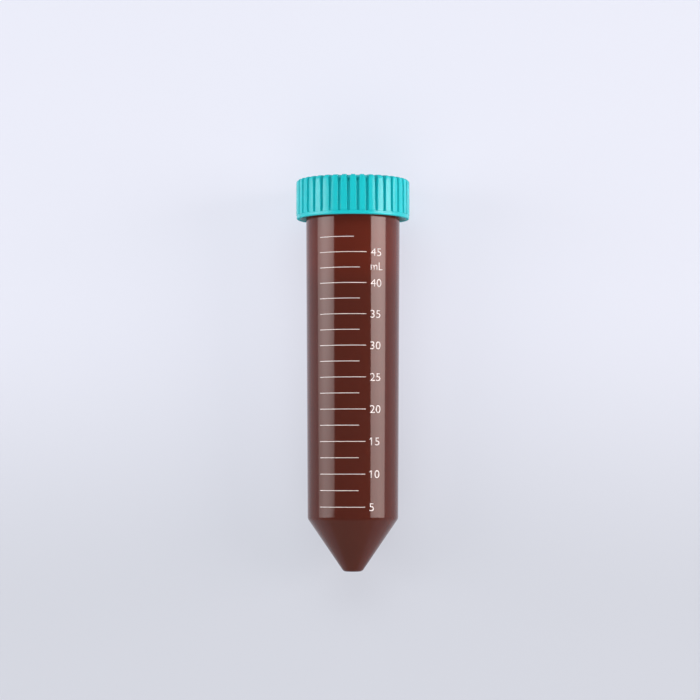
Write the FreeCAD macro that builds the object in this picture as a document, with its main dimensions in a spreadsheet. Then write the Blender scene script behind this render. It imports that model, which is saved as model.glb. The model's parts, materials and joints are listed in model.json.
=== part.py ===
import FreeCAD, Part
import math
import os
import re

import Sketcher
from FreeCAD import Placement, Rotation, Vector

# A 50 ml conical tube: a drafted, moulded shell with a conical end, closed by a ribbed screw cap.
# Lengths are millimetres and angles are degrees. Each body is built along its own +Z, which is the
# tube's axis, and its placement then lays the closed tube on its side, as it comes to rest: on two
# of the cap's ribs and on the shoulder of the cone, with the printed side up.

doc = FreeCAD.newDocument("conical_tube")


# ---------------------------------------------------------------- driving dimensions

SIZES = [
    # tube, heights along its axis from the tip
    ("tube_length", 116.9, "tip to mouth"),
    ("tip_radius", 2.8, "where the cone's line meets the tip face"),
    ("shoulder_height", 15.95, "top of the cone"),
    ("shoulder_radius", 13.7, "outside, at the top of the cone"),
    ("neck_height", 105.8, "where the drafted body ends and the straight neck starts"),
    ("neck_radius", 14.24, "outside of the neck, under the thread"),
    ("body_wall", 1.02, "wall of the body and the neck"),
    ("cone_wall", 0.9, "wall of the cone, square to its face"),
    ("tip_wall", 1.3, "floor of the bore"),
    ("tip_round", 1.4, "outside edge of the tip face"),
    ("shoulder_round", 2.0, "outside edge of the shoulder"),
    ("bore_round", 1.0, "inside corners at the shoulder and the floor"),
    ("lip_chamfer", 0.3, "both edges of the mouth"),
    # cap, heights from its rim
    ("cap_height", 12.0, "rim to top"),
    ("cap_radius", 17.28, "over the crests of the ribs"),
    ("band_radius", 17.14, "plain band at the rim"),
    ("band_height", 1.1, "rim to the lower ends of the ribs"),
    ("floor_low_radius", 16.5, "between the ribs, at the band"),
    ("floor_high_radius", 16.1, "between the ribs, at the top"),
    ("cap_bore_radius", 15.4, "inside of the skirt, under the thread"),
    ("top_wall", 1.8, "top plate"),
    ("top_bevel", 0.9, "outside edge of the top, over the ribs"),
    ("rim_chamfer", 0.3, "both edges of the rim"),
    ("plug_radius", 13.1, "outside of the plug seal ring"),
    ("plug_wall", 0.9, "wall of the plug seal ring"),
    ("plug_depth", 2.8, "reach of the plug seal ring below the top plate"),
    ("plug_chamfer", 0.45, "lead-in at the ring's outside edge"),
    ("seat_gap", 0.1, "between the mouth and the top plate"),
    # one of the cap's grip ribs, across its length
    ("rib_count", 38, "ribs round the skirt"),
    ("rib_width", 1.9, "flank to flank, at the crest"),
    ("crest_dome", 3.0, "radius of the slightly domed crest"),
    ("crest_width", 1.4, "domed part of the crest, between its bevels"),
    ("crest_drop", 0.33, "middle of the crest down to where the flanks start"),
    ("flank_angle", 8.0, "lean of the flanks from square to the skirt"),
    ("rib_root", 1.2, "crest down to the foot of the flanks, inside the skirt"),
]

sheet = doc.addObject("Spreadsheet::Sheet", "Sizes")
for row, (alias, value, meaning) in enumerate(SIZES, start=1):
    sheet.set(f"A{row}", alias)
    sheet.set(f"B{row}", str(value))
    sheet.set(f"C{row}", meaning)
    sheet.setAlias(f"B{row}", alias)
doc.recompute()


ALIAS = re.compile(r"(?<![.\w])(" + "|".join(alias for alias, _, _ in SIZES) + r")\b")


def cells(formula):
    """Put the sheet's name before every alias in a formula."""
    return ALIAS.sub(r"Sizes.\1", formula)


def size(formula):
    """A formula's present value, for the first guess that a sketch's constraints start from."""
    return float(sheet.evalExpression(cells(formula)))


# ---------------------------------------------------------------- how the closed tube lies

# The floor touches the shoulder's rounding at one end and the lower ends of two ribs at the other.
rest = doc.addObject("App::VarSet", "Rest")
LYING = [
    ("cone_slope", "Angle", "atan((shoulder_radius - tip_radius) / shoulder_height)"),
    ("draft", "Angle",
     "atan((neck_radius - shoulder_radius) / (neck_height - shoulder_height))"),
    ("shoulder_back", "Float",
     "shoulder_round / cos((Rest.cone_slope - Rest.draft) / 2)"),
    ("shoulder_at", "Float",
     "shoulder_height + Rest.shoulder_back * sin((Rest.cone_slope + Rest.draft) / 2)"),
    ("shoulder_out", "Float",
     "shoulder_radius - Rest.shoulder_back * cos((Rest.cone_slope + Rest.draft) / 2)"),
    ("rim_at", "Float", "tube_length + seat_gap + top_wall - cap_height"),
    ("ribs_at", "Float", "Rest.rim_at + band_height"),
    ("ribs_out", "Float", "(cap_radius - crest_dome) * cos(180 / rib_count) + crest_dome"),
    ("run", "Float", "Rest.ribs_at - Rest.shoulder_at"),
    ("rise", "Float", "Rest.ribs_out - Rest.shoulder_out"),
    ("tilt", "Angle",
     "atan(Rest.rise / Rest.run)"
     " - asin(shoulder_round / sqrt(Rest.run ^ 2 + Rest.rise ^ 2))"),
    ("far_end", "Float",
     "(Rest.rim_at + cap_height) * cos(Rest.tilt)"
     " + (cap_radius - top_bevel) * sin(Rest.tilt)"),
    ("near_end", "Float",
     "tip_round * cos(Rest.tilt) - (tip_radius - tip_round) * sin(Rest.tilt) - tip_round"),
    ("tip_y", "Float", "-(Rest.far_end + Rest.near_end) / 2"),
    ("tip_z", "Float", "Rest.ribs_out * cos(Rest.tilt) - Rest.ribs_at * sin(Rest.tilt)"),
]
for name, kind, formula in LYING:
    rest.addProperty(f"App::Property{kind}", name)
    rest.setExpression(name, cells(formula))
doc.recompute()


def lay_down(body, distance):
    """Lay a body on its side, its origin a distance along the tube's axis from the tip."""
    body.Placement = Placement(Vector(0, 0, 0), Rotation(Vector(1, 0, 0), -80))
    body.setExpression("Placement.Rotation.Angle", "Rest.tilt - 90 deg")
    body.setExpression("Placement.Base.y", f"Rest.tip_y + ({distance}) * cos(Rest.tilt)")
    body.setExpression("Placement.Base.z", f"Rest.tip_z + ({distance}) * sin(Rest.tilt)")


# ---------------------------------------------------------------- sketch and feature helpers

def new_body(label):
    body = doc.addObject("PartDesign::Body", label)
    body.Label = label
    return body


def new_sketch(body, name, plane):
    """A sketch on one of the body's own origin planes."""
    sketch = body.newObject("Sketcher::SketchObject", name)
    support = next(f for f in body.Origin.OriginFeatures if f.Role == plane)
    sketch.AttachmentSupport = [(support, "")]
    sketch.MapMode = "FlatFace"
    return sketch


def draw_loop(sketch, points):
    """Lines through the points, closed, with each end tied to the next start."""
    count = len(points)
    for i, (x, y) in enumerate(points):
        x_next, y_next = points[(i + 1) % count]
        sketch.addGeometry(Part.LineSegment(Vector(x, y, 0), Vector(x_next, y_next, 0)))
    for i in range(count):
        sketch.addConstraint(Sketcher.Constraint("Coincident", i, 2, (i + 1) % count, 1))


def dimension(sketch, kind, formula, *where):
    """A named driving constraint, bound to the sheet."""
    index = sketch.addConstraint(Sketcher.Constraint(kind, *where, size(formula)))
    name = f"d{index}"
    sketch.renameConstraint(index, name)
    sketch.setExpression(f"Constraints.{name}", cells(formula))


def from_axis(sketch, line, formula):
    """Distance of a line's start from the sketch's vertical axis."""
    dimension(sketch, "DistanceX", formula, -1, 1, line, 1)


def from_base(sketch, line, formula):
    """Height of a line's start over the sketch's horizontal axis."""
    dimension(sketch, "DistanceY", formula, -1, 1, line, 1)


def straighten(sketch, level=(), upright=()):
    for line in level:
        sketch.addConstraint(Sketcher.Constraint("Horizontal", line))
    for line in upright:
        sketch.addConstraint(Sketcher.Constraint("Vertical", line))


def round_corner(sketch, line, formula):
    """Round the corner at a line's start with a tangent arc; its sharp corner stays as a point."""
    arc = sketch.GeometryCount
    sketch.fillet(line, 1, size(formula), True, True)
    dimension(sketch, "Radius", formula, arc)


def revolve(body, name, sketch):
    turned = body.newObject("PartDesign::Revolution", name)
    turned.Profile = sketch
    turned.ReferenceAxis = (sketch, ["V_Axis"])
    turned.Angle = 360
    sketch.Visibility = False
    doc.recompute()
    return turned


def ring_edge(feature, radius, height):
    """The name of the round edge nearest to a radius and a height."""
    def miss(edge):
        if not isinstance(edge.Curve, Part.Circle):
            return float("inf")
        centre = edge.Curve.Center
        return abs(edge.Curve.Radius - radius) + abs(centre.z - height)

    edges = feature.Shape.Edges
    best = min(range(len(edges)), key=lambda i: miss(edges[i]))
    return f"Edge{best + 1}"


def dress(body, kind, name, base, rings, formula):
    """A fillet or a chamfer on round edges, each given as (radius, height)."""
    feature = body.newObject(f"PartDesign::{kind}", name)
    feature.Base = (base, [ring_edge(base, radius, height) for radius, height in rings])
    feature.setExpression("Radius" if kind == "Fillet" else "Size", cells(formula))
    doc.recompute()
    return feature


# ---------------------------------------------------------------- tube

def make_tube():
    """One moulded shell: tip, cone, drafted body and straight neck, of nearly even wall."""
    body = new_body("tube")
    bore_radius = size("neck_radius") - size("body_wall")
    bore_shoulder = size("shoulder_radius") - size("body_wall")
    slope = (size("shoulder_radius") - size("tip_radius")) / size("shoulder_height")
    slant = (1 + slope ** 2) ** 0.5
    floor_radius = size("tip_radius") + slope * size("tip_wall") - size("cone_wall") * slant
    inner_rise = (bore_shoulder - floor_radius) / slope
    points = [
        (0, 0),
        (size("tip_radius"), 0),
        (size("shoulder_radius"), size("shoulder_height")),
        (size("neck_radius"), size("neck_height")),
        (size("neck_radius"), size("tube_length")),
        (bore_radius, size("tube_length")),
        (bore_radius, size("neck_height")),
        (bore_shoulder, size("tip_wall") + inner_rise),
        (floor_radius, size("tip_wall")),
        (0, size("tip_wall")),
    ]
    tip, cone, draft, neck, mouth, neck_bore, draft_bore, cone_bore, floor, axis = range(10)
    section = new_sketch(body, "tube_section", "XZ_Plane")
    draw_loop(section, points)
    section.addConstraint(Sketcher.Constraint("Coincident", tip, 1, -1, 1))
    straighten(section, level=(tip, mouth, floor), upright=(neck, neck_bore, axis))
    section.addConstraint(Sketcher.Constraint("Parallel", cone, cone_bore))
    from_axis(section, cone, "tip_radius")
    from_axis(section, draft, "shoulder_radius")
    from_base(section, draft, "shoulder_height")
    from_axis(section, neck, "neck_radius")
    from_base(section, neck, "neck_height")
    from_base(section, mouth, "tube_length")
    from_axis(section, neck_bore, "neck_radius - body_wall")
    from_base(section, draft_bore, "neck_height")
    from_axis(section, cone_bore, "shoulder_radius - body_wall")
    from_base(section, floor, "tip_wall")
    dimension(section, "Distance", "cone_wall", floor, 1, cone)
    round_corner(section, draft, "shoulder_round")
    round_corner(section, cone_bore, "bore_round")
    round_corner(section, floor, "bore_round")
    shell = revolve(body, "tube_shell", section)

    tip_edge = dress(body, "Fillet", "tip_edge", shell, [(size("tip_radius"), 0)], "tip_round")
    dress(body, "Chamfer", "lip", tip_edge,
          [(size("neck_radius"), size("tube_length")),
           (bore_radius, size("tube_length"))], "lip_chamfer")
    lay_down(body, "0")
    return body


# ---------------------------------------------------------------- cap

def rib_section(body):
    """One rib across its length, at the band, about the sketch's X axis: a domed crest, a bevel on
    each side of it, and two flanks that lean apart towards the skirt."""
    sketch = new_sketch(body, "rib_section", "XY_Plane")
    sketch.setExpression("AttachmentOffset.Base.z", cells("band_height"))
    sketch.setExpression("AttachmentOffset.Rotation.Yaw", cells("90 - 180 / rib_count"))

    dome = size("crest_dome")
    crest_y = size("crest_width / 2")
    crest_end = math.asin(crest_y / dome)
    crest_x = size("cap_radius") - dome * (1 - math.cos(crest_end))
    lean = math.tan(math.radians(size("flank_angle")))
    flank_x = size("cap_radius - crest_drop")
    flank_y = size("rib_width / 2") + size("crest_drop") * lean
    foot_x = size("cap_radius - rib_root")
    foot_y = size("rib_width / 2") + size("rib_root") * lean

    def add_line(x, y, x_next, y_next):
        return sketch.addGeometry(Part.LineSegment(Vector(x, y, 0), Vector(x_next, y_next, 0)))

    circle = Part.Circle(Vector(size("cap_radius - crest_dome"), 0, 0), Vector(0, 0, 1), dome)
    crest = sketch.addGeometry(Part.ArcOfCircle(circle, -crest_end, crest_end))
    left_bevel = add_line(crest_x, crest_y, flank_x, flank_y)
    left_flank = add_line(flank_x, flank_y, foot_x, foot_y)
    foot = add_line(foot_x, foot_y, foot_x, -foot_y)
    right_flank = add_line(foot_x, -foot_y, flank_x, -flank_y)
    right_bevel = add_line(flank_x, -flank_y, crest_x, -crest_y)

    outline = [crest, left_bevel, left_flank, foot, right_flank, right_bevel]
    for here, after in zip(outline, outline[1:] + outline[:1]):
        sketch.addConstraint(Sketcher.Constraint("Coincident", here, 2, after, 1))
    sketch.addConstraint(Sketcher.Constraint("PointOnObject", crest, 3, -1))
    sketch.addConstraint(Sketcher.Constraint("Vertical", crest, 1, crest, 2))
    sketch.addConstraint(Sketcher.Constraint("Symmetric", left_flank, 1, right_flank, 2, -1))
    sketch.addConstraint(Sketcher.Constraint("Symmetric", foot, 1, foot, 2, -1))
    dimension(sketch, "DistanceX", "cap_radius - crest_dome", -1, 1, crest, 3)
    dimension(sketch, "Radius", "crest_dome", crest)
    dimension(sketch, "DistanceY", "crest_width", crest, 1, crest, 2)
    from_axis(sketch, left_flank, "cap_radius - crest_drop")
    from_axis(sketch, foot, "cap_radius - rib_root")
    dimension(sketch, "DistanceY", "rib_width + 2 * rib_root * tan(flank_angle)", foot, 2, foot, 1)
    dimension(sketch, "Angle", "(90 - flank_angle) * 1 deg", foot, 1, left_flank, 2)
    return sketch


def bevel_section(body):
    """The corner that is cut off the upper end of a rib, in the plane through the cap's axis and
    the middle of the rib."""
    corner = new_sketch(body, "bevel_section", "XZ_Plane")
    corner.setExpression("AttachmentOffset.Rotation.Pitch", cells("90 - 180 / rib_count"))
    draw_loop(corner, [
        (size("cap_radius - top_bevel"), size("cap_height")),
        (size("cap_radius"), size("cap_height - top_bevel")),
        (size("cap_radius"), size("cap_height")),
    ])
    straighten(corner, level=(2,), upright=(1,))
    from_axis(corner, 0, "cap_radius - top_bevel")
    from_base(corner, 0, "cap_height")
    from_axis(corner, 1, "cap_radius")
    from_base(corner, 1, "cap_height - top_bevel")
    return corner


def make_cap():
    """One moulding: skirt with grip ribs, top plate and the seal ring that plugs the mouth."""
    body = new_body("cap")
    under = size("cap_height - top_wall")
    plug_bore = size("plug_radius - plug_wall")
    plug_end = size("cap_height - top_wall - plug_depth")
    points = [
        (size("cap_bore_radius"), 0),
        (size("band_radius"), 0),
        (size("band_radius"), size("band_height")),
        (size("floor_low_radius"), size("band_height")),
        (size("floor_high_radius"), size("cap_height")),
        (0, size("cap_height")),
        (0, under),
        (plug_bore, under),
        (plug_bore, plug_end),
        (size("plug_radius"), plug_end),
        (size("plug_radius"), under),
        (size("cap_bore_radius"), under),
    ]
    rim, band, ledge, skirt, top, axis, ceiling, ring_bore, ring_end, ring, land, bore = range(12)
    section = new_sketch(body, "cap_section", "XZ_Plane")
    draw_loop(section, points)
    straighten(section, level=(rim, ledge, top, ceiling, ring_end, land),
               upright=(band, axis, ring_bore, ring, bore))
    section.addConstraint(Sketcher.Constraint("PointOnObject", axis, 1, -2))
    section.addConstraint(Sketcher.Constraint("PointOnObject", rim, 1, -1))
    section.addConstraint(Sketcher.Constraint("PointOnObject", land, 1, ceiling))
    from_axis(section, rim, "cap_bore_radius")
    from_axis(section, band, "band_radius")
    from_base(section, ledge, "band_height")
    from_axis(section, skirt, "floor_low_radius")
    from_axis(section, top, "floor_high_radius")
    from_base(section, top, "cap_height")
    from_base(section, ceiling, "cap_height - top_wall")
    from_axis(section, ring_bore, "plug_radius - plug_wall")
    from_base(section, ring_end, "cap_height - top_wall - plug_depth")
    from_axis(section, ring, "plug_radius")
    shell = revolve(body, "cap_shell", section)

    rim_edges = dress(body, "Chamfer", "rim_edges", shell,
                      [(size("cap_bore_radius"), 0), (size("band_radius"), 0)], "rim_chamfer")
    plain = dress(body, "Chamfer", "plug_lead_in", rim_edges,
                  [(size("plug_radius"), plug_end)], "plug_chamfer")

    rib = body.newObject("PartDesign::Pad", "grip_rib")
    rib.Profile = rib_section(body)
    rib.setExpression("Length", cells("cap_height - band_height"))
    doc.recompute()
    if rib.Shape.Volume <= plain.Shape.Volume:
        raise RuntimeError("the grip rib adds nothing")

    bevel = body.newObject("PartDesign::Pocket", "rib_bevel")
    bevel.Profile = bevel_section(body)
    bevel.Midplane = True
    bevel.setExpression("Length", cells("rib_width + 2 * rib_root * tan(flank_angle)"))
    doc.recompute()
    if bevel.Shape.Volume >= rib.Shape.Volume:
        raise RuntimeError("the bevel cuts nothing")

    ribs = body.newObject("PartDesign::PolarPattern", "grip_ribs")
    ribs.Originals = [rib, bevel]
    ribs.Axis = (section, ["V_Axis"])
    ribs.Angle = 360
    ribs.setExpression("Occurrences", "Sizes.rib_count")
    body.Tip = ribs
    doc.recompute()
    lay_down(body, "Rest.rim_at")
    return body


# ---------------------------------------------------------------- build, check and write

bodies = [make_tube(), make_cap()]
doc.recompute()

for item in doc.Objects:
    if {"Invalid", "Error"} & set(item.State):
        raise RuntimeError(f"{item.Label} failed to build")
for body in bodies:
    if body.Shape.isNull() or not body.Shape.isValid():
        raise RuntimeError(f"{body.Label} has no valid shape")

os.makedirs("parts", exist_ok=True)
for body in bodies:
    body.Shape.exportStep(f"parts/{body.Label}.step")
    box = body.Shape.BoundBox
    print(f"{body.Label}: {body.Shape.Volume / 1000:.2f} cm3, "
          f"x {box.XMin:.2f} to {box.XMax:.2f}, y {box.YMin:.2f} to {box.YMax:.2f}, "
          f"z {box.ZMin:.2f} to {box.ZMax:.2f}")
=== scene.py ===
import json
import math

import bmesh
import bpy
from mathutils import Matrix, Vector


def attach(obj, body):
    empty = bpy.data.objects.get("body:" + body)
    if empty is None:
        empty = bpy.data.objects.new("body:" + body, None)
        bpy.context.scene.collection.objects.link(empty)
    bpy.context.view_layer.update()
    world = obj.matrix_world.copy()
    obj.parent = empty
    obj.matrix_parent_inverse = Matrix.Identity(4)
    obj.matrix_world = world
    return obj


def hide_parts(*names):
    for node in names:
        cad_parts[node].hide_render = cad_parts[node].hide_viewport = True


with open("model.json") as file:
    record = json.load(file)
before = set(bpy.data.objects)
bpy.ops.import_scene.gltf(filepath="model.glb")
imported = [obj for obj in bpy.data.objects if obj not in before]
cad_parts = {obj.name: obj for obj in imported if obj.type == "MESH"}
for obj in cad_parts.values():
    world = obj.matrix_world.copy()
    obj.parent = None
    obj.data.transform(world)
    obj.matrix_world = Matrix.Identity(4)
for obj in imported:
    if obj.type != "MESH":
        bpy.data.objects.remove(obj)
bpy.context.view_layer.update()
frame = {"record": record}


# ---------------------------------------------------------------- how the tube lies
# The closed tube lies on its side, on the shoulder of its cone and on two ribs of its cap. Every
# piece below is shaped in millimetres on the tube's own axes: Z from the tip to the cap, -Y out
# of the printed side, X to the right of the print. `lie` takes that to its place in the frame,
# from the flat top of the cap. The print looks up, a little to the right of straight up.

CLOSED_LENGTH = 118.8
PRINT_TURN = math.radians(4.55)

cap_top = next(m for m in frame["record"]["mounts"] if m["name"] == "cap_top")
along = Vector(cap_top["axis"]).normalized()
across = Vector((1, 0, 0))
away = along.cross(across)
turn = Matrix((across, away, along)).transposed().to_4x4()
tip = Vector(cap_top["pos_m"]) - along * CLOSED_LENGTH / 1000
lie = Matrix.Translation(tip) @ turn @ Matrix.Rotation(PRINT_TURN, 4, "Z") @ Matrix.Scale(0.001, 4)


# ---------------------------------------------------------------- tube
# The tube is one injection moulding in amber polypropylene: a conical end, a long body that
# widens slightly towards the mouth so that it leaves its mould, and a straight neck. Its wall is
# about 1 mm all over, and the pigment lets almost no light through.

TIP_RADIUS = 2.8
SHOULDER_RADIUS = 13.7
SHOULDER_AT = 15.95
NECK_RADIUS = 14.24
NECK_AT = 105.8
MOUTH_AT = 116.9
BODY_WALL = 1.02
CONE_WALL = 0.9
TIP_WALL = 1.3
TIP_ROUND = 1.4
SHOULDER_ROUND = 2.0
NECK_ROUND = 6.0
LIP_ROUND = 0.3
BORE_ROUND = 1.0
TUBE_STEPS = 256
MERGE_DISTANCE = 0.0001


def rounded(corners, arc_steps=8):
    """A half section's outline. Each corner is (radius, height, rounding); a rounded corner
    becomes an arc that meets both of its sides."""
    points = []
    for i, (radius, height, rounding) in enumerate(corners):
        here = Vector((radius, height))
        if not rounding:
            points.append(here)
            continue
        back = (Vector(corners[i - 1][:2]) - here).normalized()
        ahead = (Vector(corners[(i + 1) % len(corners)][:2]) - here).normalized()
        half = back.angle(ahead) / 2
        reach = rounding / math.tan(half)
        middle = here + (back + ahead).normalized() * rounding / math.sin(half)
        start, end = here + back * reach - middle, here + ahead * reach - middle
        sweep = start.angle_signed(end)
        for step in range(arc_steps + 1):
            points.append(middle + Matrix.Rotation(-sweep * step / arc_steps, 2) @ start)
    return points


def turned(name, outline, angles, press=None):
    """A closed shell turned about Z from a half section's outline, and laid in its place later.
    Outline points on the axis become single poles. `press` gives each outline point the shift
    (outwards, upwards) that it has at the bottom of a groove, kept as an attribute."""
    verts, rings, shifts = [], [], []
    for i, (radius, height) in enumerate(outline):
        shift = (press[i].x, 0.0, press[i].y) if press else (0.0, 0.0, 0.0)
        if radius < 1e-6:
            rings.append([len(verts)])
            verts.append((0.0, 0.0, height))
            shifts.append(shift)
            continue
        rings.append(list(range(len(verts), len(verts) + len(angles))))
        verts += [(radius * math.cos(a), radius * math.sin(a), height) for a in angles]
        shifts += [shift] * len(angles)
    faces = []
    for ring, above in zip(rings, rings[1:] + rings[:1]):
        if len(ring) == 1 and len(above) == 1:
            continue
        for k in range(len(angles)):
            n = (k + 1) % len(angles)
            corners = [ring[k % len(ring)], ring[n % len(ring)],
                       above[n % len(above)], above[k % len(above)]]
            faces.append(list(dict.fromkeys(corners)))
    mesh = bpy.data.meshes.new(name)
    mesh.from_pydata(verts, [], faces)
    if press:
        pressed = mesh.attributes.new("press", "FLOAT_VECTOR", "POINT")
        pressed.data.foreach_set("vector", [value for shift in shifts for value in shift])
    piece = bpy.data.objects.new(name, mesh)
    bpy.context.scene.collection.objects.link(piece)
    return piece


def finish_mesh(piece, crease=40):
    """Lays a piece in its place, points its faces outwards and shades it smooth up to creases."""
    mesh = piece.data
    work = bmesh.new()
    work.from_mesh(mesh)
    bmesh.ops.remove_doubles(work, verts=work.verts, dist=MERGE_DISTANCE)
    bmesh.ops.recalc_face_normals(work, faces=work.faces)
    work.to_mesh(mesh)
    work.free()
    mesh.transform(lie)
    mesh.shade_smooth()
    mesh.set_sharp_from_angle(angle=math.radians(crease))


def even_angles(steps):
    """A full turn in equal steps."""
    return [math.tau * k / steps for k in range(steps)]


slope = (SHOULDER_RADIUS - TIP_RADIUS) / SHOULDER_AT
floor_radius = TIP_RADIUS + slope * TIP_WALL - CONE_WALL * math.sqrt(1 + slope ** 2)
bore_at_shoulder = SHOULDER_RADIUS - BODY_WALL
bore_shoulder_at = TIP_WALL + (bore_at_shoulder - floor_radius) / slope
bore_radius = NECK_RADIUS - BODY_WALL
tube_shell = turned("tube_shell", rounded([
    (0, 0, 0),
    (TIP_RADIUS, 0, TIP_ROUND),
    (SHOULDER_RADIUS, SHOULDER_AT, SHOULDER_ROUND),
    (NECK_RADIUS, NECK_AT, NECK_ROUND),
    (NECK_RADIUS, MOUTH_AT, LIP_ROUND),
    (bore_radius, MOUTH_AT, LIP_ROUND),
    (bore_radius, NECK_AT, NECK_ROUND),
    (bore_at_shoulder, bore_shoulder_at, BORE_ROUND),
    (floor_radius, TIP_WALL, BORE_ROUND),
    (0, TIP_WALL, 0),
]), even_angles(TUBE_STEPS))
finish_mesh(tube_shell)


def new_material(name):
    """An empty material with its output, and a helper that adds nodes with their settings."""
    material = bpy.data.materials.new(name)
    material.use_nodes = True
    nodes, links = material.node_tree.nodes, material.node_tree.links
    nodes.clear()
    output = nodes.new("ShaderNodeOutputMaterial")

    def add(kind, inputs=None, **settings):
        node = nodes.new(kind)
        for key, value in settings.items():
            setattr(node, key, value)
        for key, value in (inputs or {}).items():
            if isinstance(value, bpy.types.NodeSocket):
                links.new(value, node.inputs[key])
            else:
                node.inputs[key].default_value = value
        return node

    return material, add, output, links


def between(add, share, low, high):
    """A colour between two, by a share from 0 to 1."""
    ramp = add("ShaderNodeValToRGB", {"Fac": share})
    ramp.color_ramp.elements[0].color = (*low, 1)
    ramp.color_ramp.elements[1].color = (*high, 1)
    return ramp.outputs["Color"]


# The pigment is faintly cloudy. From the upper body to the neck the colour is painted redder,
# a painted glow of light in the wall. Fine flow lines run along the tube, and a light haze varies the
# gloss.

AMBER_DARK = (0.072, 0.0165, 0.0108)
AMBER_RED = (0.105, 0.0172, 0.0092)
CLOUD_REDNESS = 0.3
NECK_GLOW = 0.7
GLOW_FROM = 84.0
GLOW_TO = 94.0

amber, add, output, links = new_material("amber_polypropylene")
coords = add("ShaderNodeTexCoord").outputs["Object"]
clouds = add("ShaderNodeTexNoise", {"Vector": coords, "Scale": 28.0, "Detail": 2.0})
station = add("ShaderNodeVectorMath", {0: coords, 1: along}, operation="DOT_PRODUCT")
# Painted glow: the colour turns redder from the upper body to the neck, standing in for light glowing
# in the wall.
painted_glow = add("ShaderNodeMapRange", {
    "Value": station.outputs["Value"],
    "From Min": (lie @ Vector((0, 0, GLOW_FROM))).dot(along),
    "From Max": (lie @ Vector((0, 0, GLOW_TO))).dot(along),
    "To Max": NECK_GLOW}, interpolation_type="SMOOTHSTEP")
cloud_and_glow = add("ShaderNodeMath", {
    0: clouds.outputs["Fac"],
    1: CLOUD_REDNESS,
    2: painted_glow.outputs["Result"]}, operation="MULTIPLY_ADD")
flow = add("ShaderNodeMapping", {"Vector": coords, "Scale": (160.0, 12.0, 160.0)})
flow_lines = add("ShaderNodeTexNoise", {"Vector": flow.outputs["Vector"], "Scale": 1.0, "Detail": 3.0})
haze = add("ShaderNodeTexNoise", {"Vector": coords, "Scale": 400.0, "Detail": 4.0})
sheen_range = add("ShaderNodeMapRange", {"Value": haze.outputs["Fac"], "To Min": 0.05, "To Max": 0.11})
ripple = add("ShaderNodeBump", {
    "Height": flow_lines.outputs["Fac"], "Strength": 0.08, "Distance": 0.0002})
amber_shader = add("ShaderNodeBsdfPrincipled", {
    "Base Color": between(add, cloud_and_glow.outputs[0], AMBER_DARK, AMBER_RED),
    "Specular IOR Level": 0.3,
    "Specular Tint": (1.0, 0.95, 0.93, 1.0),
    "Roughness": sheen_range.outputs["Result"],
    "Normal": ripple.outputs["Normal"],
    "Subsurface Weight": 0.08,
    "Subsurface Radius": (1.0, 0.25, 0.12),
    "Subsurface Scale": 0.0015,
})
links.new(amber_shader.outputs["BSDF"], output.inputs["Surface"])
tube_shell.data.materials.append(amber)
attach(tube_shell, "tube")
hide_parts("tube")


# ---------------------------------------------------------------- screw thread of the neck
# The neck carries a right-hand thread of a little over one and a half turns, moulded with the
# tube. It is a low trapezoid ridge that rises out of the wall at both ends, under the closed cap.

THREAD_PITCH = 3.4
THREAD_TURNS = 1.6
THREAD_FOOT = 1.5
THREAD_TOP = 0.55
THREAD_BITE = 0.1
THREAD_STEPS = 96
THREAD_AT = 109.6
THREAD_ANGLE = 0.3
NECK_CREST = 14.95


class Tree:
    """A Geometry Nodes tree under construction, with named inputs for its sizes."""

    def __init__(self, name, sizes):
        self.tree = bpy.data.node_groups.new(name, "GeometryNodeTree")
        face = self.tree.interface
        face.new_socket("Geometry", in_out="INPUT", socket_type="NodeSocketGeometry")
        for size, value in sizes.items():
            kind = "NodeSocketInt" if isinstance(value, int) else "NodeSocketFloat"
            face.new_socket(size, in_out="INPUT", socket_type=kind).default_value = value
        face.new_socket("Geometry", in_out="OUTPUT", socket_type="NodeSocketGeometry")
        self.sizes = sizes
        self.given = self.tree.nodes.new("NodeGroupInput").outputs

    def add(self, kind, inputs=None, **settings):
        node = self.tree.nodes.new(kind)
        for key, value in settings.items():
            setattr(node, key, value)
        for key, value in (inputs or {}).items():
            if isinstance(value, bpy.types.NodeSocket):
                self.tree.links.new(value, node.inputs[key])
            else:
                node.inputs[key].default_value = value
        return node

    def calc(self, operation, *values):
        node = self.add("ShaderNodeMath", dict(enumerate(values)), operation=operation)
        return node.outputs[0]

    def shape_curve(self, value, points):
        """A smooth rule from 0..1 to 0..1 through a few points."""
        node = self.add("ShaderNodeFloatCurve", {"Value": value})
        curve = node.mapping.curves[0]
        for spot in points[1:-1]:
            curve.points.new(*spot)
        for spot, (x, y) in zip(curve.points, points):
            spot.location = (x, y)
        node.mapping.update()
        return node.outputs["Value"]

    def end(self, geometry, material):
        """Realize Instances and Set Material close every tree."""
        real = self.add("GeometryNodeRealizeInstances", {"Geometry": geometry})
        painted = self.add("GeometryNodeSetMaterial",
                           {"Geometry": real.outputs["Geometry"], "Material": material})
        result = self.tree.nodes.new("NodeGroupOutput")
        self.tree.links.new(painted.outputs["Geometry"], result.inputs["Geometry"])

    def make(self, piece):
        """Runs the tree on a piece, with its sizes, and leaves the result as a plain mesh."""
        modifier = piece.modifiers.new(self.tree.name, "NODES")
        modifier.node_group = self.tree
        for item in self.tree.interface.items_tree:
            if item.in_out == "INPUT" and item.name in self.sizes:
                modifier[item.identifier] = self.sizes[item.name]
        graph = bpy.context.evaluated_depsgraph_get()
        mesh = bpy.data.meshes.new_from_object(piece.evaluated_get(graph), depsgraph=graph)
        piece.modifiers.remove(modifier)
        piece.data = mesh
        mesh.name = piece.name


def empty_piece(name):
    """A piece with no mesh yet, for a tree to fill."""
    piece = bpy.data.objects.new(name, bpy.data.meshes.new(name))
    bpy.context.scene.collection.objects.link(piece)
    return piece


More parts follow.
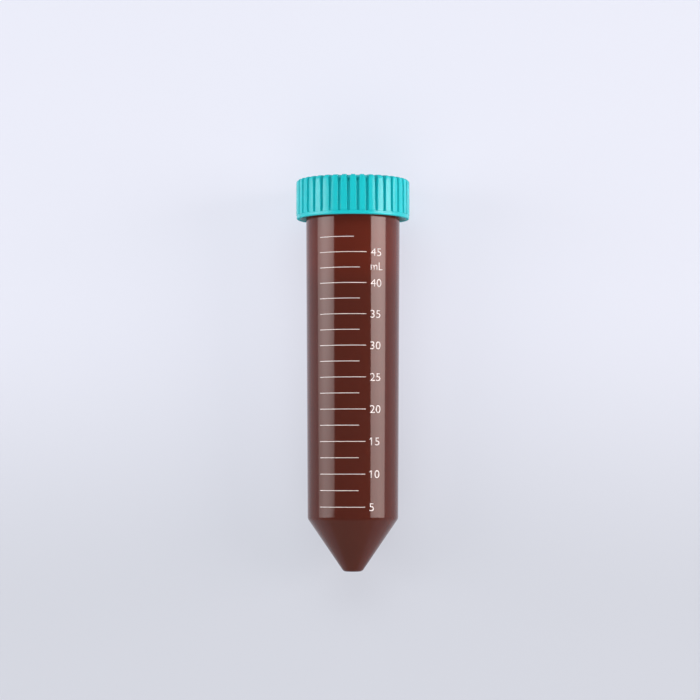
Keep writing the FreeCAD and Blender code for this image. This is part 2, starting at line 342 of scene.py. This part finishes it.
def thread(name, material, root, crest, start_at):
    """A helical ridge with its foot at the radius `root` and its top at `crest`."""
    tree = Tree(name + "_rule", {
        "Root radius": root, "Crest radius": crest, "Start height": start_at,
        "Start angle": THREAD_ANGLE, "Turns": THREAD_TURNS, "Pitch": THREAD_PITCH,
        "Foot width": THREAD_FOOT, "Top width": THREAD_TOP,
    })
    size = tree.given
    path = tree.add("GeometryNodeCurveSpiral", {
        "Resolution": THREAD_STEPS, "Rotations": size["Turns"],
        "Start Radius": size["Root radius"], "End Radius": size["Root radius"],
        "Height": tree.calc("MULTIPLY", size["Turns"], size["Pitch"]),
    })
    upright = tree.add("GeometryNodeSetCurveNormal", {"Curve": path.outputs["Curve"]}, mode="Z_UP")
    progress = tree.add("GeometryNodeSplineParameter").outputs["Factor"]
    swell = tree.shape_curve(progress, [(0, 0), (0.1, 1), (0.9, 1), (1, 0)])
    rise = tree.calc("SUBTRACT", size["Root radius"], size["Crest radius"])
    corners = {}
    trapezoid = ((0.0, "Foot width", -0.5), (rise, "Top width", -0.5),
                 (rise, "Top width", 0.5), (0.0, "Foot width", 0.5))
    for i, (inwards, width, side) in enumerate(trapezoid, 1):
        spot = {"X": inwards, "Y": tree.calc("MULTIPLY", size[width], side)}
        corners[f"Point {i}"] = tree.add("ShaderNodeCombineXYZ", spot).outputs[0]
    ridge = tree.add("GeometryNodeCurvePrimitiveQuadrilateral", corners, mode="POINTS")
    swept = tree.add("GeometryNodeCurveToMesh", {
        "Curve": upright.outputs["Curve"], "Profile Curve": ridge.outputs["Curve"],
        "Scale": swell, "Fill Caps": True})
    placed = tree.add("GeometryNodeTransform", {
        "Geometry": swept.outputs["Mesh"],
        "Translation": tree.add("ShaderNodeCombineXYZ", {"Z": size["Start height"]}).outputs[0],
        "Rotation": tree.add("ShaderNodeCombineXYZ", {"Z": size["Start angle"]}).outputs[0],
    })
    tree.end(placed.outputs["Geometry"], material)
    ridge_piece = empty_piece(name)
    tree.make(ridge_piece)
    return ridge_piece


tube_thread = thread("tube_thread", amber, root=NECK_RADIUS - THREAD_BITE, crest=NECK_CREST,
                     start_at=THREAD_AT)
finish_mesh(tube_thread)
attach(tube_thread, "tube")


# ---------------------------------------------------------------- printed scale
# A volume scale is pad printed on the body in white ink, one line for each 2.5 ml. Every line
# stands where the tapering bore holds its volume, so the lines draw together towards the mouth,
# and the pad has set the whole scale a little low. The lines for each 5 ml are long and numbered.

FIRST_VOLUME = 5.0
VOLUME_STEP = 2.5
LINE_COUNT = 18
LINE_START = -10.85
LONG_END = 3.6
SHORT_END = 1.6
LAST_END = -0.3
NUMBER_START = 4.98
PRINT_LEAN = 0.5 / 76
PRINT_DROP = 0.2
LINE_THICKNESS = 0.165
NUMBER_HEIGHT = 2.3
NUMBER_WIDENING = 1.15
NUMBERED_VOLUMES = range(5, 50, 5)
UNIT_VOLUME = 42.5
UNIT_RAISE = 0.4
UNIT_WIDENING = 1.0
PEN_TRIM = -0.009
FLAG_REACH = 0.1
FLAG_DROP = 0.12
FLAG_END = 0.2
FLAG_WIDTH = 0.11
INK_THICKNESS = 0.03
INK_COLUMN = 0.25
INK_COLUMNS = 20
STROKE_POINTS = 61

scale_start = bore_shoulder_at - PRINT_DROP
bore_growth = (NECK_RADIUS - SHOULDER_RADIUS) / (NECK_AT - SHOULDER_AT)
cone_rise = bore_shoulder_at - TIP_WALL
cone_volume = math.pi / 3 * cone_rise * (
    floor_radius ** 2 + floor_radius * bore_at_shoulder + bore_at_shoulder ** 2)


def fill_height(millilitres):
    """Height above the tip that this much liquid fills the tube to."""
    above_cone = millilitres * 1000 - cone_volume
    radius = (bore_at_shoulder ** 3 + 3 * bore_growth * above_cone / math.pi) ** (1 / 3)
    return scale_start + (radius - bore_at_shoulder) / bore_growth


def add_flag(flat):
    """The slanted stroke at the top of a leading 1, which the typeface draws as a plain bar."""
    left = min(v.co.x for v in flat.vertices)
    top = max(v.co.y for v in flat.vertices)
    word = bmesh.new()
    word.from_mesh(flat)
    corners = ((left, top), (left - FLAG_REACH, top - FLAG_DROP),
               (left - FLAG_REACH, top - FLAG_END), (left, top - FLAG_WIDTH))
    word.faces.new([word.verts.new((x, y, 0)) for x, y in corners])
    word.normal_update()
    word.to_mesh(flat)
    word.free()


def flat_label(words, height, widening=NUMBER_WIDENING):
    """One printed word on the flat: X to the right and Y up the tube, its left end in place."""
    curve = bpy.data.curves.new("label", "FONT")
    curve.body = words
    curve.offset = PEN_TRIM
    label = bpy.data.objects.new("label", curve)
    bpy.context.scene.collection.objects.link(label)
    graph = bpy.context.evaluated_depsgraph_get()
    flat = bpy.data.meshes.new_from_object(label.evaluated_get(graph))
    bpy.data.objects.remove(label)
    if words.startswith("1"):
        add_flag(flat)
    low_x = min(v.co.x for v in flat.vertices)
    low_y, high_y = min(v.co.y for v in flat.vertices), max(v.co.y for v in flat.vertices)
    grow = NUMBER_HEIGHT / (high_y - low_y)
    for vertex in flat.vertices:
        vertex.co.x = (vertex.co.x - low_x) * grow * widening + NUMBER_START
        vertex.co.x += (height - fill_height(FIRST_VOLUME)) * PRINT_LEAN
        vertex.co.y = (vertex.co.y - (low_y + high_y) / 2) * grow + height
    return flat


labels = bmesh.new()
for volume in NUMBERED_VOLUMES:
    labels.from_mesh(flat_label(str(volume), fill_height(volume)))
labels.from_mesh(flat_label("mL", fill_height(UNIT_VOLUME) + UNIT_RAISE, UNIT_WIDENING))
for column in range(INK_COLUMNS):
    bmesh.ops.bisect_plane(
        labels, geom=labels.verts[:] + labels.edges[:] + labels.faces[:], dist=1e-5,
        plane_co=(NUMBER_START + column * INK_COLUMN, 0, 0), plane_no=(1, 0, 0))
scale_print = empty_piece("scale_print")
labels.to_mesh(scale_print.data)
labels.free()

WHITE_INK = (0.92, 0.87, 0.85)
THIN_INK = (0.80, 0.72, 0.70)

ink, add, output, links = new_material("white_ink")
coords = add("ShaderNodeTexCoord").outputs["Object"]
cover = add("ShaderNodeTexNoise", {"Vector": coords, "Scale": 900.0, "Detail": 3.0})
ink_shader = add("ShaderNodeBsdfPrincipled", {
    "Base Color": between(add, cover.outputs["Fac"], THIN_INK, WHITE_INK),
    "Roughness": 0.45,
})
links.new(ink_shader.outputs["BSDF"], output.inputs["Surface"])

wrap = Tree("scale_rule", {
    "Lines": LINE_COUNT, "First volume": FIRST_VOLUME * 1000, "Volume step": VOLUME_STEP * 1000,
    "Cone volume": cone_volume, "Bore radius": bore_at_shoulder, "Bore start": scale_start,
    "Bore growth": bore_growth, "Line start": LINE_START, "Long end": LONG_END,
    "Short end": SHORT_END, "Last end": LAST_END, "Lean": PRINT_LEAN,
    "Line thickness": LINE_THICKNESS, "Body radius": SHOULDER_RADIUS, "Body start": SHOULDER_AT,
})
size, calc = wrap.given, wrap.calc
index = wrap.add("GeometryNodeInputIndex").outputs[0]
volume = calc("SUBTRACT", calc("MULTIPLY_ADD", index, size["Volume step"], size["First volume"]),
              size["Cone volume"])
cubed = calc("MULTIPLY_ADD", calc("MULTIPLY", volume, size["Bore growth"]), 3 / math.pi,
             calc("POWER", size["Bore radius"], 3.0))
grown = calc("SUBTRACT", calc("POWER", cubed, 1 / 3), size["Bore radius"])
height = calc("ADD", calc("DIVIDE", grown, size["Bore growth"]), size["Bore start"])
is_short = calc("MODULO", index, 2.0)
is_last = calc("COMPARE", index, calc("SUBTRACT", size["Lines"], 1.0), 0.5)
end = calc("MULTIPLY_ADD", is_short, calc("SUBTRACT", size["Short end"], size["Long end"]),
           size["Long end"])
end = calc("MULTIPLY_ADD", is_last, calc("SUBTRACT", size["Last end"], size["Short end"]), end)
end = calc("MULTIPLY_ADD", calc("SUBTRACT", height, size["Body start"]), size["Lean"], end)
length = calc("SUBTRACT", end, size["Line start"])
spots = wrap.add("GeometryNodePoints", {
    "Count": size["Lines"],
    "Position": wrap.add("ShaderNodeCombineXYZ", {
        "X": calc("MULTIPLY_ADD", length, 0.5, size["Line start"]), "Y": height}).outputs[0]})
stroke = wrap.add("GeometryNodeMeshGrid", {
    "Size X": 1.0, "Size Y": 1.0, "Vertices X": STROKE_POINTS, "Vertices Y": 2})
lines = wrap.add("GeometryNodeInstanceOnPoints", {
    "Points": spots.outputs[0], "Instance": stroke.outputs["Mesh"],
    "Scale": wrap.add("ShaderNodeCombineXYZ", {
        "X": length, "Y": size["Line thickness"], "Z": 1.0}).outputs[0]})
flat_lines = wrap.add("GeometryNodeRealizeInstances", {"Geometry": lines.outputs[0]})
sheet = wrap.add("GeometryNodeJoinGeometry")
wrap.tree.links.new(size["Geometry"], sheet.inputs[0])
wrap.tree.links.new(flat_lines.outputs[0], sheet.inputs[0])
place = wrap.add("ShaderNodeSeparateXYZ", {0: wrap.add("GeometryNodeInputPosition").outputs[0]})
radius = calc("MULTIPLY_ADD", calc("SUBTRACT", place.outputs["Y"], size["Body start"]),
              size["Bore growth"], size["Body radius"])
angle = calc("DIVIDE", place.outputs["X"], radius)
wrapped = wrap.add("GeometryNodeSetPosition", {
    "Geometry": sheet.outputs[0],
    "Position": wrap.add("ShaderNodeCombineXYZ", {
        "X": calc("MULTIPLY", calc("SINE", angle), radius),
        "Y": calc("MULTIPLY", calc("MULTIPLY", calc("COSINE", angle), radius), -1.0),
        "Z": place.outputs["Y"]}).outputs[0]})
wrap.end(wrapped.outputs["Geometry"], ink)
wrap.make(scale_print)
scale_print.data.transform(lie)
raised = scale_print.modifiers.new("ink", "SOLIDIFY")
raised.thickness = INK_THICKNESS / 1000
raised.offset = 1
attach(scale_print, "tube")


# ---------------------------------------------------------------- cap
# The screw cap is one moulding in satin turquoise polyethylene. Thirty-eight grip ribs stand round
# the skirt over a plain band at the rim, and the grooves between them deepen towards the top and
# run out through its rounded edge. Inside, a ring under the top plate plugs the tube's mouth.

CAP_HEIGHT = 12.0
CAP_RADIUS = 17.27
BAND_RADIUS = 17.13
BAND_HEIGHT = 1.1
GROOVE_LOW_RADIUS = 16.5
GROOVE_HIGH_RADIUS = 16.1
CAP_BORE_RADIUS = 15.4
LEAD_IN = 0.8
LEAD_IN_HEIGHT = 0.9
RIM_INNER_ROUND = 0.2
RIM_OUTER_ROUND = 0.35
TOP_WALL = 1.8
TOP_ROUND = 1.1
TOP_RING_INSET = 1.2
BORE_END_ROUND = 0.3
PLUG_RADIUS = 13.1
PLUG_WALL = 0.9
PLUG_DEPTH = 2.8
PLUG_ROOT_ROUND = 0.3
PLUG_INNER_ROUND = 0.15
PLUG_OUTER_ROUND = 0.4
SKIRT_ROWS = 9
RIB_COUNT = 38

# Across half a rib's pitch, 0 is the middle of a groove and 1 the middle of a rib. The mesh is
# closest at the groove's walls, and each groove flares where it runs out over the top edge.
RIB_STATIONS = (0.0, 0.12, 0.18, 0.21, 0.24, 0.27, 0.3, 0.34, 0.38, 0.44, 0.54, 0.77)
GROOVE_PROFILE = ((0, 1), (0.19, 1), (0.24, 0.8), (0.29, 0.25), (0.34, 0.06), (0.5, 0.036),
                  (0.75, 0.012), (1, 0))
GROOVE_ROUND = 2.1
GROOVE_FLARE = 0.75
FLARE_POWER = 12.0

rim_at = CLOSED_LENGTH - CAP_HEIGHT
under_top = CLOSED_LENGTH - TOP_WALL
first_groove = -math.pi / 2 - PRINT_TURN


def cap_section(low_radius, high_radius, edge_round):
    """The cap's half section through a rib or through a groove, with like points in both."""
    foot = rim_at + BAND_HEIGHT + abs(low_radius - BAND_RADIUS) / 2
    skirt = []
    for row in range(SKIRT_ROWS):
        share = row / SKIRT_ROWS
        skirt.append((low_radius + (high_radius - low_radius) * share,
                      foot + (CLOSED_LENGTH - foot) * share, 0.0))
    return rounded([
        (CAP_BORE_RADIUS, rim_at + LEAD_IN_HEIGHT, 0.0),
        (CAP_BORE_RADIUS + LEAD_IN, rim_at, RIM_INNER_ROUND),
        (BAND_RADIUS, rim_at, RIM_OUTER_ROUND),
        (BAND_RADIUS, rim_at + BAND_HEIGHT, 0.0),
        *skirt,
        (high_radius, CLOSED_LENGTH, edge_round),
        (CAP_BORE_RADIUS - TOP_RING_INSET, CLOSED_LENGTH, 0.0),
        (0.0, CLOSED_LENGTH, 0.0),
        (0.0, under_top, 0.0),
        (PLUG_RADIUS - PLUG_WALL, under_top, PLUG_ROOT_ROUND),
        (PLUG_RADIUS - PLUG_WALL, under_top - PLUG_DEPTH, PLUG_INNER_ROUND),
        (PLUG_RADIUS, under_top - PLUG_DEPTH, PLUG_OUTER_ROUND),
        (PLUG_RADIUS, under_top, 0.0),
        (CAP_BORE_RADIUS, under_top, BORE_END_ROUND),
    ])


on_rib = cap_section(CAP_RADIUS, CAP_RADIUS, TOP_ROUND)
in_groove = cap_section(GROOVE_LOW_RADIUS, GROOVE_HIGH_RADIUS, GROOVE_ROUND)
rib_angles = []
for rib in range(RIB_COUNT):
    for stop in (*RIB_STATIONS, 1.0, *(2 - s for s in reversed(RIB_STATIONS[1:]))):
        rib_angles.append(first_groove + math.tau / RIB_COUNT * (rib + stop / 2))
cap_shell = turned("cap_shell", on_rib, rib_angles,
                   press=[low - high for high, low in zip(on_rib, in_groove)])

# The skin has a fine satin grain. The flat underside of the rim is duller than the rest.

TURQUOISE = (0.010, 0.485, 0.532)
TURQUOISE_LIGHT = (0.014, 0.545, 0.592)
RIM_ROUGHNESS = 0.65
DULL_HEIGHT = 0.0003

turquoise, add, output, links = new_material("turquoise_polyethylene")
coords = add("ShaderNodeTexCoord").outputs["Object"]
tone = add("ShaderNodeTexNoise", {"Vector": coords, "Scale": 120.0, "Detail": 3.0})
grain = add("ShaderNodeTexNoise", {"Vector": coords, "Scale": 2600.0, "Detail": 2.0})
satin = add("ShaderNodeMapRange", {"Value": grain.outputs["Fac"], "To Min": 0.2, "To Max": 0.26})
station = add("ShaderNodeVectorMath", {0: coords, 1: along}, operation="DOT_PRODUCT")
rim_level = (lie @ Vector((0, 0, rim_at))).dot(along)
dull_rim = add("ShaderNodeMapRange", {
    "Value": station.outputs["Value"], "From Min": rim_level, "From Max": rim_level + DULL_HEIGHT,
    "To Min": RIM_ROUGHNESS, "To Max": satin.outputs["Result"]})
skin = add("ShaderNodeBump", {"Height": grain.outputs["Fac"], "Strength": 0.25, "Distance": 0.00004})
turquoise_shader = add("ShaderNodeBsdfPrincipled", {
    "Base Color": between(add, tone.outputs["Fac"], TURQUOISE, TURQUOISE_LIGHT),
    "Specular IOR Level": 0.24,
    "Roughness": dull_rim.outputs["Result"],
    "Normal": skin.outputs["Normal"],
    "Subsurface Weight": 0.12,
    "Subsurface Radius": (0.25, 1.0, 1.0),
    "Subsurface Scale": 0.0008,
})
links.new(turquoise_shader.outputs["BSDF"], output.inputs["Surface"])

grip = Tree("grip_rule", {"Ribs": RIB_COUNT, "First groove": first_groove,
                          "Start height": rim_at, "Height": CAP_HEIGHT, "Flare": GROOVE_FLARE})
size, calc = grip.given, grip.calc
place = grip.add("ShaderNodeSeparateXYZ", {0: grip.add("GeometryNodeInputPosition").outputs[0]})
angle = calc("ARCTAN2", place.outputs["Y"], place.outputs["X"])
pitches = calc("DIVIDE", calc("MULTIPLY", calc("SUBTRACT", angle, size["First groove"]), size["Ribs"]),
               math.tau)
from_groove = calc("MULTIPLY", calc("PINGPONG", pitches, 0.5), 2.0)
climb = calc("DIVIDE", calc("SUBTRACT", place.outputs["Z"], size["Start height"]), size["Height"])
widening = calc("MULTIPLY_ADD", calc("POWER", climb, FLARE_POWER), size["Flare"], 1.0)
depth = grip.shape_curve(calc("DIVIDE", from_groove, widening), GROOVE_PROFILE)
press = grip.add("GeometryNodeInputNamedAttribute", {"Name": "press"}, data_type="FLOAT_VECTOR")
shift = grip.add("ShaderNodeSeparateXYZ", {0: press.outputs["Attribute"]})
outwards = calc("MULTIPLY", shift.outputs["X"], depth)
pressed = grip.add("GeometryNodeSetPosition", {
    "Geometry": size["Geometry"],
    "Offset": grip.add("ShaderNodeCombineXYZ", {
        "X": calc("MULTIPLY", outwards, calc("COSINE", angle)),
        "Y": calc("MULTIPLY", outwards, calc("SINE", angle)),
        "Z": calc("MULTIPLY", shift.outputs["Z"], depth)}).outputs[0]})
grip.end(pressed.outputs["Geometry"], turquoise)
grip.make(cap_shell)
finish_mesh(cap_shell, crease=50)
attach(cap_shell, "cap")
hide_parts("cap")


# ---------------------------------------------------------------- screw thread of the cap
# The skirt's bore carries the mating thread, moulded with the cap. With the cap closed its ridge
# lies under the tube's, half a pitch away.

CAP_CREST = 14.55

cap_thread = thread("cap_thread", turquoise, root=CAP_BORE_RADIUS + THREAD_BITE, crest=CAP_CREST,
                    start_at=THREAD_AT - THREAD_PITCH / 2)
finish_mesh(cap_thread)
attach(cap_thread, "cap")


# ---------------------------------------------------------------- floor and studio
# A wide pale sheet carries the tube. Two tall soft boxes stand along its sides and draw the long
# bright bands on its gloss, and two hang overhead, one beyond each end. The studio is pale round
# the horizon and dark overhead.

FLOOR_SIZE = 12.0
FLOOR_NEAR = (0.640, 0.664, 0.732)
FLOOR_FAR = (0.795, 0.818, 0.918)
FLOOR_NEAR_AT = -0.075
FLOOR_FAR_AT = 0.03
FLOOR_GLOW = 0.68

floor_mesh = bpy.data.meshes.new("floor")
half = FLOOR_SIZE / 2
floor_mesh.from_pydata([(-half, -half, 0), (half, -half, 0), (half, half, 0), (-half, half, 0)],
                       [], [(0, 1, 2, 3)])
floor = bpy.data.objects.new("floor", floor_mesh)
bpy.context.scene.collection.objects.link(floor)
paper, add, output, links = new_material("pale_sheet")
coords = add("ShaderNodeTexCoord").outputs["Object"]
run = add("ShaderNodeSeparateXYZ", {0: coords})
# Painted shade: the sheet's colour is darker towards the tip's end and lighter towards the cap's end,
# a painted falloff of light.
painted_falloff = add("ShaderNodeMapRange", {
    "Value": run.outputs["Y"], "From Min": FLOOR_NEAR_AT, "From Max": FLOOR_FAR_AT},
    interpolation_type="SMOOTHSTEP")
pale = between(add, painted_falloff.outputs["Result"], FLOOR_NEAR, FLOOR_FAR)
sheet_shader = add("ShaderNodeBsdfPrincipled", {"Base Color": pale, "Roughness": 0.8})
glow = add("ShaderNodeEmission", {"Color": pale})
ray = add("ShaderNodeLightPath").outputs
seen = add("ShaderNodeMath", {0: ray["Is Camera Ray"], 1: ray["Is Glossy Ray"]}, operation="MAXIMUM")
seen = add("ShaderNodeMath", {0: seen.outputs[0], 1: ray["Is Transmission Ray"]}, operation="MAXIMUM")
part = add("ShaderNodeMath", {0: seen.outputs[0], 1: FLOOR_GLOW}, operation="MULTIPLY")
lit = add("ShaderNodeMixShader", {
    0: part.outputs[0], 1: sheet_shader.outputs["BSDF"], 2: glow.outputs["Emission"]})
links.new(lit.outputs["Shader"], output.inputs["Surface"])
floor.data.materials.append(paper)

# The side boxes are brightest across their middle and at the cap's end. They dim towards the tip's
# end and towards their lower and upper edges.

EYE_STATION = 31.3
SIDE_BOX_LENGTH = 0.36
SIDE_BOX_DISTANCE = 0.8
SIDE_BOX_SHIFT = 0.065
LEFT_BOX_HEIGHT = 0.88
LEFT_BOX_RADIANCE = 8.5
LEFT_BOX_TINT = (1.0, 0.94, 0.94)
RIGHT_BOX_HEIGHT = 0.70
RIGHT_BOX_RADIANCE = 12.1
RIGHT_BOX_TINT = (1.0, 0.89, 0.87)
TIP_END_SHARE = 0.62
DIM_FROM = 0.14
DIM_TO = -0.06
LOW_MIDDLE = 0.4
HIGH_MIDDLE = 0.5
HEAD_BOX_AT = (0, 1.1, 1.25)
HEAD_BOX_RADIANCE = 3.4
FOOT_BOX_AT = (0, -0.9, 1.2)
FOOT_BOX_RADIANCE = 2.1
OVERHEAD_SIZE = (1.4, 0.8)

eye_at = lie @ Vector((0, 0, EYE_STATION))


def soft_box(name, place, size, radiance, tint=(1.0, 1.0, 1.0), end_share=1.0,
             low_share=1.0, high_share=1.0):
    """A lamp turned towards the tube. Its face dims to `end_share` beside the tip, and from its
    middle to `low_share` at its lower edge and `high_share` at its upper edge."""
    width, height = size
    lamp = bpy.data.lights.new(name, "AREA")
    lamp.shape = "RECTANGLE"
    lamp.size, lamp.size_y = width, height
    lamp.energy = radiance * math.pi * width * height
    lamp.color = tint
    lamp.use_nodes = True
    nodes, links = lamp.node_tree.nodes, lamp.node_tree.links
    spot = nodes.new("ShaderNodeSeparateXYZ")
    links.new(nodes.new("ShaderNodeNewGeometry").outputs["Position"], spot.inputs[0])
    dim = nodes.new("ShaderNodeMapRange")
    for key, value in (("From Min", DIM_TO), ("From Max", DIM_FROM), ("To Min", end_share)):
        dim.inputs[key].default_value = value
    links.new(spot.outputs["Y"], dim.inputs["Value"])
    glowing = dim.outputs["Result"]
    for edge, share, middle in ((0.0, low_share, LOW_MIDDLE * height),
                                (height, high_share, HIGH_MIDDLE * height)):
        side = nodes.new("ShaderNodeMapRange")
        side.interpolation_type = "SMOOTHSTEP"
        for key, value in (("From Min", edge), ("From Max", middle), ("To Min", share)):
            side.inputs[key].default_value = value
        links.new(spot.outputs["Z"], side.inputs["Value"])
        both = nodes.new("ShaderNodeMath")
        both.operation = "MULTIPLY"
        links.new(glowing, both.inputs[0])
        links.new(side.outputs["Result"], both.inputs[1])
        glowing = both.outputs[0]
    links.new(glowing, nodes["Emission"].inputs["Strength"])
    box = bpy.data.objects.new(name, lamp)
    box.location = place
    face = Vector((place[0], 0, 0)) if place[0] else Vector(place) - eye_at
    box.rotation_euler = face.to_track_quat("Z", "Y").to_euler()
    box.visible_camera = False
    bpy.context.scene.collection.objects.link(box)
    return box


box_y = eye_at.y + SIDE_BOX_SHIFT
soft_box("left_box", (-SIDE_BOX_DISTANCE, box_y, LEFT_BOX_HEIGHT / 2),
         (SIDE_BOX_LENGTH, LEFT_BOX_HEIGHT), LEFT_BOX_RADIANCE, LEFT_BOX_TINT,
         end_share=TIP_END_SHARE, low_share=0.45, high_share=0.65)
soft_box("right_box", (SIDE_BOX_DISTANCE, box_y, RIGHT_BOX_HEIGHT / 2),
         (SIDE_BOX_LENGTH, RIGHT_BOX_HEIGHT), RIGHT_BOX_RADIANCE, RIGHT_BOX_TINT,
         end_share=TIP_END_SHARE, low_share=0.75, high_share=0.92)
for fill in (soft_box("head_box", HEAD_BOX_AT, OVERHEAD_SIZE, HEAD_BOX_RADIANCE),
             soft_box("foot_box", FOOT_BOX_AT, OVERHEAD_SIZE, FOOT_BOX_RADIANCE)):
    fill.visible_glossy = False

# The paleness of the horizon reaches higher towards the tip than towards the cap.

HORIZON = (0.55, 0.52, 0.49)
CEILING = (0.10, 0.10, 0.105)
HORIZON_TOP = 0.16
CEILING_FROM = 0.42
TIPWARD_RISE = 0.3

world = bpy.data.worlds.new("studio")
world.use_nodes = True
bpy.context.scene.world = world
nodes, links = world.node_tree.nodes, world.node_tree.links
nodes.clear()
direction = nodes.new("ShaderNodeTexCoord")
parts = nodes.new("ShaderNodeSeparateXYZ")
tipward = nodes.new("ShaderNodeMath")
tipward.operation = "MINIMUM"
tipward.inputs[1].default_value = 0.0
level = nodes.new("ShaderNodeMath")
level.operation = "MULTIPLY_ADD"
level.inputs[1].default_value = TIPWARD_RISE
fade = nodes.new("ShaderNodeMapRange")
fade.inputs["From Min"].default_value = HORIZON_TOP
fade.inputs["From Max"].default_value = CEILING_FROM
sky = nodes.new("ShaderNodeValToRGB")
sky.color_ramp.elements[0].color = (*HORIZON, 1)
sky.color_ramp.elements[1].color = (*CEILING, 1)
glow = nodes.new("ShaderNodeBackground")
world_output = nodes.new("ShaderNodeOutputWorld")
links.new(direction.outputs["Generated"], parts.inputs[0])
links.new(parts.outputs["Y"], tipward.inputs[0])
links.new(tipward.outputs[0], level.inputs[0])
links.new(parts.outputs["Z"], level.inputs[2])
links.new(level.outputs[0], fade.inputs["Value"])
links.new(fade.outputs["Result"], sky.inputs["Fac"])
links.new(sky.outputs["Color"], glow.inputs["Color"])
links.new(glow.outputs["Background"], world_output.inputs["Surface"])


# ---------------------------------------------------------------- camera
# The camera looks down on the printed side, level with the lower third of the tube and pitched
# slightly towards the cap.

CAMERA_DISTANCE = 713.0
CAMERA_LEFT = 0.88
CAMERA_PITCH = math.radians(2.87)
SENSOR_WIDTH = 36.0
FOCAL_LENGTH = 120.9
SIGHT_END = 20.0

lens = bpy.data.cameras.new("camera")
lens.sensor_width = SENSOR_WIDTH
lens.lens = FOCAL_LENGTH
lens.clip_end = SIGHT_END
camera = bpy.data.objects.new("camera", lens)
ahead = Vector((0, math.cos(CAMERA_PITCH), math.sin(CAMERA_PITCH)))
upwards = Vector((0, -math.sin(CAMERA_PITCH), math.cos(CAMERA_PITCH)))
aim = Matrix(((1, 0, 0), upwards, -ahead)).transposed().to_4x4()
aim.translation = Vector((-CAMERA_LEFT, -CAMERA_DISTANCE, EYE_STATION))
seat = lie @ aim
camera.matrix_world = Matrix.LocRotScale(seat.to_translation(), seat.to_quaternion(), None)
bpy.context.scene.collection.objects.link(camera)
bpy.context.scene.camera = camera
bpy.context.scene.view_settings.view_transform = "Standard"
